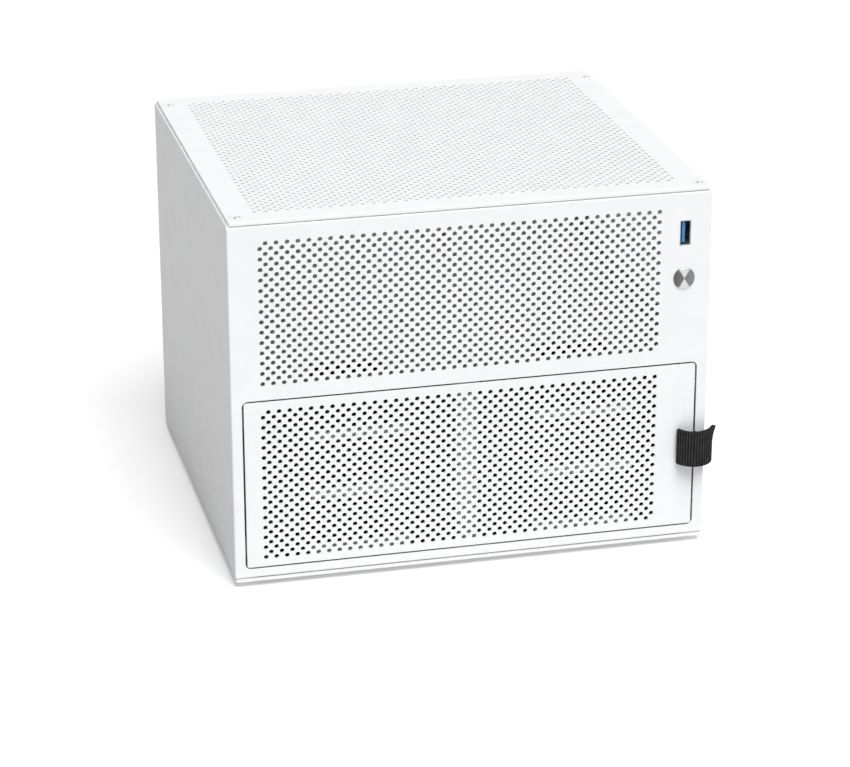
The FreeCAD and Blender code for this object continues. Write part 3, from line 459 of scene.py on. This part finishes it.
class Plate:
    """A flat plate drawn in two coordinates, with bevelled loops and fields of round holes."""

    def __init__(self, place, thick, flip=False):
        self.place = place
        self.thick = thick
        self.flip = flip
        self.verts = []
        self.faces = []
        self.borders = []

    def vert(self, spot, depth):
        self.verts.append(self.place(spot[0], spot[1], depth))
        return len(self.verts) - 1

    def face(self, *corners):
        self.faces.append(corners[::-1] if self.flip else corners)

    def pair(self, spot):
        """The same spot on the outer and the inner face."""
        return self.vert(spot, 0.0), self.vert(spot, self.thick)

    def both(self, *pairs):
        """One polygon on the outer face and its partner on the inner one."""
        self.face(*[p[0] for p in pairs])
        self.face(*[p[1] for p in reversed(pairs)])

    def outline(self, loop, bevel, behind=None):
        self.edge(loop, bevel, behind or bevel, -1)

    def opening(self, loop, bevel):
        self.edge(loop, bevel, bevel, 1)

    def edge(self, loop, bevel, behind, sign):
        """The rim of a loop: a rounded edge, the wall, a rounded edge behind; sign -1 is for an outline."""
        turns = quarter(EDGE_STEPS)
        steps = [(bevel * (1 - math.sin(t)), bevel * (1 - math.cos(t))) for t in turns]
        steps += [(behind * (1 - math.cos(t)), self.thick - behind * (1 - math.sin(t))) for t in turns]
        rims = [[self.vert(spot, depth) for spot in loop(sign * inset)] for inset, depth in steps]
        for near, far in zip(rims, rims[1:]):
            for i in range(len(near)):
                quad = (near[i - 1], far[i - 1], far[i], near[i])
                self.face(*(quad if sign < 0 else quad[::-1]))
        self.borders.append((loop(sign * bevel), list(zip(rims[0], rims[-1]))))

    def field(self, left, low, columns, rows, sides, keep=None, radius=HOLE_R):
        """A staggered field: square tiles, every other one pierced; the border joins the plate."""
        half = PITCH / 2
        spots = [[(left - half + i * PITCH, low - half + j * PITCH) for i in range(columns + 1)]
                 for j in range(rows + 1)]
        grid = [[self.pair(spot) for spot in line] for line in spots]
        for j in range(rows):
            for i in range(columns):
                tile = [grid[j][i], grid[j][i + 1], grid[j + 1][i + 1], grid[j + 1][i]]
                centre = (left + i * PITCH, low + j * PITCH)
                if (i + j) % 2 or (keep and not keep(*centre)):
                    self.both(*tile)
                else:
                    self.hole(tile, centre, sides, radius)
        self.borders.append(([Vector(spot) for spot in rim_of(spots)], rim_of(grid)))

    def hole(self, tile, centre, sides, radius):
        """A round hole in a square tile: a fan of triangles at each corner, and the wall."""
        rim = [self.pair((centre[0] + x, centre[1] + y)) for x, y in circle(radius, sides)]
        arc = sides // 4
        for q in range(4):
            corner = tile[(q + 2) % 4]
            for k in range(q * arc, (q + 1) * arc):
                self.both(corner, rim[(k + 1) % sides], rim[k])
            self.both(tile[(q + 1) % 4], corner, rim[q * arc])
        for k in range(sides):
            a, b = rim[k], rim[(k + 1) % sides]
            self.face(a[0], b[0], b[1], a[1])

    def close(self):
        """Fill the plate between all its borders."""
        spots, pairs, edges = [], [], []
        for loop, rim in self.borders:
            start = len(spots)
            spots += loop
            pairs += rim
            edges += [(start + i, start + (i + 1) % len(loop)) for i in range(len(loop))]
        loops = [loop for loop, rim in self.borders]
        found, _, faces, origin, _, _ = delaunay_2d_cdt(spots, edges, [], 0, CLOSE)
        for face in faces:
            middle = sum((found[i] for i in face), Vector((0, 0))) / len(face)
            if inside(middle, loops):
                self.both(*[pairs[origin[i][0]] for i in face])

    def piece(self, name, body, replaced):
        """The closed plate as a white painted piece in a node's place."""
        self.close()
        obj = add(name, self.verts, self.faces, WHITE, body, "white_paint")
        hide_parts(replaced)


def lathe(profile, place, count):
    """Turn (radius, height) points about an axis; place puts (across, up, height) in the frame."""
    verts, faces, rows = [], [], []
    for radius, height in profile:
        start = len(verts)
        if radius == 0.0:
            verts.append(place(0.0, 0.0, height))
            rows.append([start] * count)
        else:
            verts += [place(x, y, height) for x, y in circle(radius, count)]
            rows.append(list(range(start, start + count)))
    for near, far in zip(rows, rows[1:]):
        for k in range(count):
            n = (k + 1) % count
            faces.append(tuple(dict.fromkeys([near[k], near[n], far[n], far[k]])))
    return verts, faces


# Perforated panels

def front_space(x, z, depth):
    return x, -HALF_D + depth, z


def top_space(x, y, depth):
    return x, y, TOP - depth


def rear_space(x, z, depth):
    return x, HALF_D - depth, z


def front_panel():
    plate = Plate(front_space, SHEET)
    plate.outline(rectangle(-HALF_W, HALF_W, FRONT_LOW, FRONT_HIGH, radius=0.6, steps=3),
                  bevel=0.9, behind=0.1)
    left, right, low, high = DOOR
    plate.opening(rectangle(left - DOOR_GAP, right + DOOR_GAP, low - DOOR_GAP, high + DOOR_GAP,
                            DOOR_OPENING_CORNER), bevel=0.15)
    x, z = USB
    plate.opening(rectangle(x - USB_HALF_W, x + USB_HALF_W, z - USB_HALF_H, z + USB_HALF_H,
                            radius=0.3, steps=2), bevel=0.1)
    plate.opening(ring(*BUTTON, BUTTON_HOLE_R), bevel=0.06)
    plate.field(*FRONT_FIELD, FINE_SIDES)
    plate.piece("front_sheet", "case", "front_panel")


def door_panel():
    plate = Plate(front_space, SHEET)
    left, right, low, high = DOOR
    plate.outline(rounded([(left, low), (right, low), (right, NOTCH_LOW), (NOTCH_X, NOTCH_LOW),
                           (NOTCH_X, NOTCH_HIGH), (right, NOTCH_HIGH), (right, high), (left, high)],
                          DOOR_CORNER), bevel=0.15)
    plate.field(*DOOR_FIELD, FINE_SIDES)
    plate.piece("door_sheet", "door", "door_panel")


def top_cover():
    plate = Plate(top_space, COVER_THICK)
    plate.outline(rectangle(-COVER_HALF, COVER_HALF, -HALF_D, HALF_D, radius=1.2), bevel=0.35)
    for spot in COVER_SCREWS:
        plate.opening(ring(*spot, COVER_SCREW_HOLE_R, SCREW_SIDES), bevel=0.15)
    plate.field(*COVER_FIELD, COARSE_SIDES, radius=COVER_HOLE_R)
    plate.piece("cover_sheet", "case", "top_cover")


def rear_panel():
    plate = Plate(rear_space, REAR_THICK, flip=True)
    plate.outline(rectangle(-HALF_W, HALF_W, WALL_LOW, WALL_HIGH, radius=0.5, steps=2), bevel=0.4)
    for opening in (BOARD_OPENING, SUPPLY_OPENING):
        plate.opening(rectangle(*opening, radius=0.6, steps=2), bevel=0.2)
    reach = (FAN_TILES - 1) / 2 * PITCH
    for middle in (-FAN_X, FAN_X):
        def keep(x, z, middle=middle):
            return math.hypot(x - middle, z - FAN_Z) < FAN_OPENING_R
        plate.field(middle - reach, FAN_Z - reach, FAN_TILES, FAN_TILES, COARSE_SIDES, keep)
    plate.piece("rear_sheet", "case", "rear_panel")


front_panel()
door_panel()
top_cover()
rear_panel()


# Finishes of the frame's own pieces

TRAYS = range(1, 7)
FINISHES = [
    (WHITE, ["base_plate"]),
    (DECK, ["mid_deck"]),
    (INNER, ["left_cage_wall", "right_cage_wall", "cage_divider"]),
    (STEEL, ["corner_brackets", "door_strikes", "door_magnets", "tab_clamp", "usb_shell"]),
    (BRASS, ["board_standoffs", "usb_spacers"]),
    (BLACK, ["drive_sockets", "power_sockets", "power_switch"]),
    (BLACK, ["left_fan_frame", "left_fan_rotor", "right_fan_frame", "right_fan_rotor"]),
    (BLUE, ["usb_tongue"]),
    (BOARD, ["backplane_board", "usb_board"]),
    (TRAY, [f"drive_tray_{number}" for number in TRAYS]),
    (HANDLE, [f"tray_handle_{number}" for number in TRAYS]),
]
for finish, names in FINISHES:
    for name in names:
        NODES[name].data.materials.clear()
        NODES[name].data.materials.append(finish)


# Button, feet, side sheets, folds, screws and contacts

def power_button():
    """A turned cap with a fine bevel, dished a little, and its flange behind the panel."""
    x, z = BUTTON
    verts, faces = lathe(BUTTON_PROFILE, lambda a, b, h: (x + a, -HALF_D - h, z + b), BUTTON_SIDES)
    cap = add("button_cap", verts, faces, TURNED, "button", "button_metal", (x, BUTTON_MIDDLE_Y, z))
    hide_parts("power_button")


def rubber_feet():
    """Round feet with a softened rim."""
    parts = []
    for x in (-FOOT_X, FOOT_X):
        for y in (-FOOT_Y, FOOT_Y):
            parts.append(lathe(FOOT_PROFILE, lambda a, b, h: (x + a, y - b, h), FOOT_SIDES))
    feet = add("round_feet", *merge(parts), RUBBER, "case", "rubber")
    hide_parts("rubber_feet")


def side_panel(name, side, replaced):
    """A folded side: an upright sheet with a flange turned in at its top and bottom."""
    def bend(x, z, radius, start):
        turns = [start + t for t in quarter(BEND_STEPS)]
        return [(x + radius * math.cos(t), z + radius * math.sin(t)) for t in turns]
    outline = bend(HALF_W - LOW_BEND, WALL_LOW + LOW_BEND, LOW_BEND, -math.pi / 2)
    outline += bend(HALF_W - TOP_BEND, WALL_HIGH - TOP_BEND, TOP_BEND, 0.0)
    wall, low, high = HALF_W - SIDE_THICK, WALL_LOW + SIDE_THICK, WALL_HIGH - SIDE_THICK
    outline += [(SIDE_FLANGE, WALL_HIGH), (SIDE_FLANGE, high), (wall, high),
                (wall, low), (SIDE_FLANGE, low), (SIDE_FLANGE, WALL_LOW)]
    count = len(outline)
    verts = [(side * x, y, z) for y in (SHEET - HALF_D, HALF_D - REAR_THICK) for x, z in outline]
    faces = [(i, i + count, (i + 1) % count + count, (i + 1) % count) for i in range(count)]
    faces += [tuple(range(count)), tuple(range(2 * count - 1, count - 1, -1))]
    piece = add(name, verts, faces if side > 0 else [f[::-1] for f in faces], WHITE, "case", "white_paint")
    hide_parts(replaced)


def front_folds():
    """Strips folded back from the front sheet, behind the seam under the cover and the gap over the door."""
    strips = [((-half, SHEET - HALF_D, low), (half, back, high))
              for half, back, low, high in (SEAM_FOLD, DOOR_FOLD)]
    blocks("front_folds", strips, WHITE, "case", "white_paint")


def screws(name, place, spots, radius, mat, slot, flip=False):
    """Round heads with a cross recess, and a dark plate of painted shade sunk inside each recess; place puts
    a head in the frame.
    """
    heads, painted_shade_floors = [], []
    for spot in spots:
        head = Plate(lambda u, v, d: place(*spot, u, v, d), SCREW_THICK, flip)
        head.outline(ring(0, 0, radius, SCREW_SIDES), bevel=0.2)
        head.opening(cross(RECESS_REACH * radius, RECESS_HALF * radius), bevel=0.02)
        # Painted shade: a dark plate set inside the recess, darker than the head.
        floor = Plate(lambda u, v, d: place(*spot, u, v, RECESS_DEPTH + d), RECESS_FLOOR, flip)
        floor.outline(cross((RECESS_REACH + RECESS_MARGIN) * radius, (RECESS_HALF + RECESS_MARGIN) * radius),
                      bevel=0.02)
        for plate, parts in ((head, heads), (floor, painted_shade_floors)):
            plate.close()
            parts.append((plate.verts, plate.faces))
    add(name, *merge(heads), mat, "case", slot)
    add(f"{name}_recess", *merge(painted_shade_floors), RECESS, "case", slot)


def cover_screws():
    """Heads sunk a little into the cover."""
    def place(x, y, u, v, d):
        return x + u, y + v, TOP - COVER_SCREW_SINK - d
    screws("cover_screws", place, COVER_SCREWS, COVER_SCREW_R, WHITE, "white_paint")


def rear_screws():
    """Heads that hold the two fans and the rear panel."""
    def place(x, z, u, v, d):
        return x + u, HALF_D + REAR_SCREW_RISE - d, z + v
    reach = (-FAN_SCREW_REACH, FAN_SCREW_REACH)
    spots = [(middle + a, FAN_Z + b) for middle in (-FAN_X, FAN_X) for a in reach for b in reach]
    spots += [(x, z) for x in (-REAR_SCREW_X, REAR_SCREW_X) for z in REAR_SCREW_Z]
    screws("rear_screws", place, spots, STEEL_SCREW_R, STEEL, "bare_steel", flip=True)


def base_screws():
    """Heads under the base, two at each side."""
    def place(x, y, u, v, d):
        return x + u, y - v, BASE_SCREW_Z + d
    spots = [(x, y) for x in (-BASE_SCREW_X, BASE_SCREW_X) for y in (-BASE_SCREW_Y, BASE_SCREW_Y)]
    screws("base_screws", place, spots, STEEL_SCREW_R, STEEL, "bare_steel")


def socket_contacts():
    """Four springs along the open side of the socket's tongue."""
    x, z = USB
    near, far = CONTACT_X
    front, back = CONTACT_Y
    springs = [((x + near, front, z + rise - CONTACT_HALF), (x + far, back, z + rise + CONTACT_HALF))
               for rise in CONTACT_Z]
    blocks("socket_contacts", springs, GOLD, "case", "brass")


power_button()
rubber_feet()
side_panel("left_side_sheet", -1, "left_side_panel")
side_panel("right_side_sheet", 1, "right_side_panel")
front_folds()
cover_screws()
rear_screws()
base_screws()
socket_contacts()


# Webbing loop

def strap_line():
    """The strap's middle line seen from above: tail, stem, the two-layer band, stem and tail again."""
    layer = STRAP / 2 + LAYER_PLAY
    half = LOOP_HALF - STRAP
    rise = LOOP_BACK - LOOP_FRONT - 2 * STRAP
    radius = (half ** 2 + rise ** 2) / (2 * rise)
    centre = Vector((LOOP_X, LOOP_FRONT + STRAP + radius))
    reach = math.asin(half / radius)

    def arc(bend, start, stop, count):
        return [centre + Vector((math.sin(a), -math.cos(a))) * bend
                for a in (start + (stop - start) * k / count for k in range(count + 1))]

    def fold(side, count=12):
        tip = centre + Vector((side * math.sin(reach), -math.cos(reach))) * radius
        out = (tip - centre).normalized()
        along = Vector((-out.y, out.x)) * side
        return [tip + (out * side * math.cos(t) + along * math.sin(t)) * layer
                for t in (math.pi * k / count for k in range(1, count))]
    inner, outer = radius - layer, radius + layer
    near, far = STEM_X - layer, STEM_X + layer
    first = math.asin((near - LOOP_X) / inner)
    last = math.asin((far - LOOP_X) / inner)
    line = [Vector((TAIL_X, TAIL_Y + layer)), Vector((near, TAIL_Y + layer))]
    line += arc(inner, first, -reach, count=20) + fold(-1)
    line += arc(outer, -reach, reach, count=60) + fold(1)
    line += arc(inner, reach, last, count=30)
    line += [Vector((far, TAIL_Y + STRAP + layer)), Vector((TAIL_X, TAIL_Y + STRAP + layer))]
    return line


def ease(line, bend, steps=6, straight=-0.6, most=0.9):
    """Round the sharp corners of an open line, using at most a share of the stretches beside them."""
    eased = line[:1]
    for before, corner, after in zip(line, line[1:], line[2:]):
        back, ahead = before - corner, after - corner
        if back.normalized().dot(ahead.normalized()) < straight:
            eased.append(corner)
            continue
        near = corner + back.normalized() * min(bend, back.length * most)
        far = corner + ahead.normalized() * min(bend, ahead.length * most)
        for t in (k / steps for k in range(steps + 1)):
            eased.append(near * (1 - t) ** 2 + corner * (2 * t * (1 - t)) + far * t ** 2)
    return eased + line[-1:]


def even_steps(line, step):
    """Points at even distances along an open line, and its length."""
    marks = [0.0]
    for a, b in zip(line, line[1:]):
        marks.append(marks[-1] + (b - a).length)
    count = round(marks[-1] / step)
    points, k = [], 0
    for i in range(count + 1):
        want = marks[-1] * i / count
        while k < len(line) - 2 and marks[k + 1] < want:
            k += 1
        points.append(line[k].lerp(line[k + 1], (want - marks[k]) / max(marks[k + 1] - marks[k], CLOSE)))
    return points, marks[-1]


def strap_section():
    """The strap's section: (side, height) points up one face, over the selvedge and down the other."""
    low, high = LOOP_LOW + SELVEDGE, LOOP_HIGH - SELVEDGE
    levels = [low + (high - low) * k / STRAP_ROWS for k in range(STRAP_ROWS + 1)]
    over = LOOP_HIGH - SELVEDGE_DROP
    under = LOOP_LOW + SELVEDGE_DROP
    section = [(1, z) for z in levels] + [(SELVEDGE_SIDE, over), (0, LOOP_HIGH), (-SELVEDGE_SIDE, over)]
    section += [(-1, z) for z in reversed(levels)]
    return section + [(-SELVEDGE_SIDE, under), (0, LOOP_LOW), (SELVEDGE_SIDE, under)]


def unit(value):
    return max(0.0, min(1.0, value))


def pull_loop():
    """Ribbed webbing folded flat: ribs across the strap, rolled selvedges, and a flare at the right end."""
    points, length = even_steps(ease(strap_line(), STRAP_BEND), RIB / RIB_STEPS)
    section = strap_section()
    middle = (LOOP_LOW + LOOP_HIGH) / 2
    verts, faces, crests, shares = [], [], [], []
    for i, p in enumerate(points):
        way = (points[min(i + 1, len(points) - 1)] - points[max(i - 1, 0)]).normalized()
        out = Vector((-way.y, way.x))
        wave = abs(math.sin(math.pi * i / RIB_STEPS)) ** RIB_POWER
        ends = (i * RIB / RIB_STEPS, (len(points) - 1 - i) * RIB / RIB_STEPS)
        past = min(run - stem for run, stem in zip(ends, STEM_ENDS)) / STEM_TAPER
        share = STEM_SHARE + (1 - STEM_SHARE) * unit(past)
        shares.append(share)
        for side, z in section:
            spot = p + out * side * (RIB_HALF - RIB_DEPTH * (1 - wave))
            flare = unit((spot.x - FLARE_X) / FLARE_RUN) ** 2 * max(0.0, (z - middle) / FLARE_RISE) ** 2
            rise = (z - middle) * share + FLARE_UP * flare
            verts.append((spot.x + FLARE_OUT * flare, spot.y, middle + rise))
            crests.append(wave)
    width = len(section)
    for i in range(len(points) - 1):
        for k in range(width):
            n = (k + 1) % width
            faces.append((i * width + k, i * width + n, (i + 1) * width + n, (i + 1) * width + k))
    faces.append(tuple(range(width - 1, -1, -1)))
    faces.append(tuple((len(points) - 1) * width + k for k in range(width)))
    strap = add("pull_loop", verts, faces, WEBBING, "door", "webbing", smooth=True)
    # The rib crests, stored for the webbing's painted highlight.
    strap.data.attributes.new("rib", "FLOAT", "POINT").data.foreach_set("value", crests)
    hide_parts("pull_tab")
    flat = ((LOOP_HIGH - LOOP_LOW) * MM, length * MM)
    area = flat[0] * flat[1] * sum(shares) / len(shares)


pull_loop()


# Floor, light and camera

def studio_floor():
    """A wide pale floor, white to the camera away from the case's shade."""
    corners = [(-FLOOR_HALF, -FLOOR_HALF, 0), (FLOOR_HALF, -FLOOR_HALF, 0),
               (FLOOR_HALF, FLOOR_HALF, 0), (-FLOOR_HALF, FLOOR_HALF, 0)]
    mesh = bpy.data.meshes.new("studio_floor")
    mesh.from_pydata(corners, [], [(0, 1, 2, 3)])
    floor = bpy.data.objects.new("studio_floor", mesh)
    bpy.context.scene.collection.objects.link(floor)
    mat = material("studio_floor", (FLOOR_TONE, FLOOR_TONE, FLOOR_TONE), rough=1.0,
                   Specular_IOR_Level=0.0, Emission_Color=(1, 1, 1, 1))
    tree = mat.node_tree
    seen = node(tree, "ShaderNodeLightPath").outputs["Is Camera Ray"]
    drive(mat, "Emission Strength", calc(tree, "MULTIPLY", seen, FLOOR_GLOW))
    mesh.materials.append(mat)


def studio_world():
    """A room that grows lighter from left to right, and is white to the camera."""
    world = bpy.data.worlds.new("studio")
    bpy.context.scene.world = world
    world.use_nodes = True
    tree = world.node_tree
    back = tree.nodes["Background"]
    back.inputs["Color"].default_value = (1, 1, 1, 1)
    across = axes(tree, coords(tree, "Generated"))["X"]
    room = fit(tree, across, (-1.0, 1.0), (ROOM_LEFT, ROOM_RIGHT))
    seen = node(tree, "ShaderNodeLightPath").outputs["Is Camera Ray"]
    tree.links.new(fit(tree, seen, (0.0, 1.0), (room, 1.0)), back.inputs["Strength"])


def key_light():
    """One broad, far light, so the floor is as white far behind the case as beside it."""
    lamp = bpy.data.lights.new("key", "SUN")
    lamp.energy = KEY_STRENGTH
    lamp.angle = math.radians(KEY_SPREAD)
    obj = bpy.data.objects.new("key", lamp)
    obj.location = KEY_SPOT
    obj.rotation_euler = (-Vector(KEY_SPOT)).to_track_quat("-Z", "Y").to_euler()
    bpy.context.scene.collection.objects.link(obj)


def camera():
    """The fitted view of the case: its place, direction, roll and lens."""
    cam = bpy.data.cameras.new("camera")
    cam.sensor_width = CAMERA_SENSOR
    cam.lens = CAMERA_LENS
    cam.clip_end = CAMERA_FAR
    obj = bpy.data.objects.new("camera", cam)
    turn = Vector(CAMERA_WAY).normalized().to_track_quat("-Z", "Y").to_matrix().to_4x4()
    roll = Matrix.Rotation(math.radians(CAMERA_ROLL), 4, "Z")
    obj.matrix_world = Matrix.Translation(Vector(CAMERA_SPOT) * MM) @ turn @ roll
    bpy.context.scene.collection.objects.link(obj)
    bpy.context.scene.camera = obj


studio_floor()
studio_world()
key_light()
camera()
bpy.context.scene.view_settings.view_transform = "Standard"
